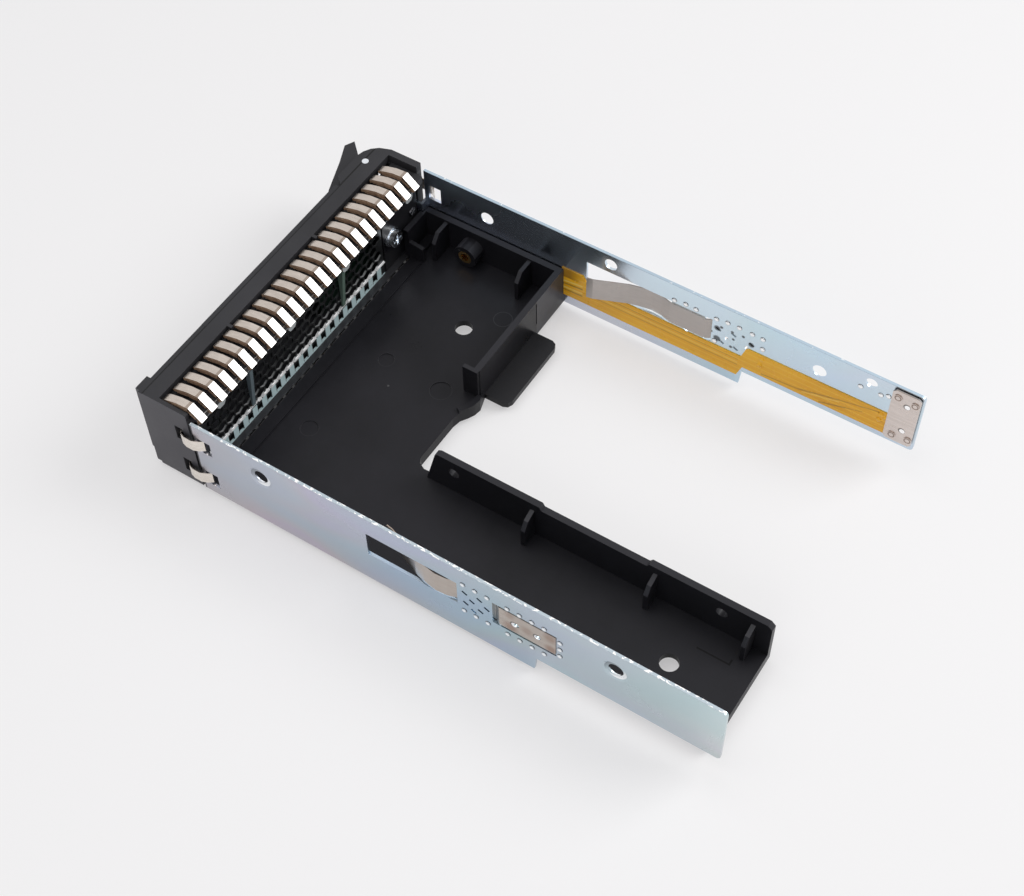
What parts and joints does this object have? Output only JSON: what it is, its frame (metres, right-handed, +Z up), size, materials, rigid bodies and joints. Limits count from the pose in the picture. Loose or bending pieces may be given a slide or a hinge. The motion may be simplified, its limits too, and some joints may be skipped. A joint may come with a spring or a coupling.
{
  "type": "hot swap drive caddy",
  "caption": "Hot swap drive caddy: vented bezel with swing lever and release button, two side rails, contact finger strips and an L-shaped tray for a small drive.",
  "frame": {"origin": "under the middle of the caddy, at the level of the lowest contact fingers", "axes": "+X from the flex circuit side to the plain side, +Y from the bezel to the open rear end, +Z up"},
  "size_m": [0.1058, 0.1754, 0.032],
  "materials": {
    "charcoal_plastic": "fine matte texture, charcoal",
    "black_plastic": "satin black",
    "zinc_sheet": "zinc plated, faint iridescence",
    "spring_steel": "bright stainless spring strip",
    "nickel_strip": "nickel plated contact strip",
    "pin_steel": "bright steel",
    "insert_brass": "turned brass",
    "amber_flex": "amber film with copper traces",
    "green_board": "coated circuit board",
    "clear_plastic": "frosted clear plastic",
    "lamp_plastic": "small white lamps",
    "vent_sheet": "plated perforated sheet"
  },
  "bodies": {
    "caddy": {"right_rail": "zinc_sheet", "left_rail": "zinc_sheet", "right_leaf_spring": "spring_steel", "left_leaf_spring": "spring_steel", "bezel_housing": "charcoal_plastic", "hinge_pin": "pin_steel", "button_spring": "pin_steel", "lever_spring": "pin_steel", "light_ring": "clear_plastic", "ring_cap": "charcoal_plastic", "light_pipe": "clear_plastic", "indicator_board": "green_board", "status_lamps": "lamp_plastic", "indicator_housing": "charcoal_plastic", "module_screw": "pin_steel", "vent_plate": "vent_sheet", "top_fingers_near": "nickel_strip", "top_fingers_middle": "nickel_strip", "top_fingers_far": "nickel_strip", "bottom_fingers": "nickel_strip", "right_side_springs": "nickel_strip", "left_side_springs": "nickel_strip", "drive_tray": "black_plastic", "threaded_insert": "insert_brass", "flex_circuit": "amber_flex", "contact_plate": "spring_steel", "contact_rivets": "pin_steel"},
    "lever": {"handle_lever": "charcoal_plastic"},
    "button": {"release_button": "charcoal_plastic"}
  },
  "joints": [
    {"name": "lever_swing", "type": "hinge", "parent": "caddy", "child": "lever", "pos_m": [-0.044, -0.0775, 0.01602], "axis": [0, 0, -1], "range_deg": [0, 48]},
    {"name": "button_press", "type": "slide", "parent": "caddy", "child": "button", "axis": [0, 1, 0], "range_m": [0, 0.0012], "stiffness_N_per_m": 800, "deforming": ["button_spring"]}
  ]
}
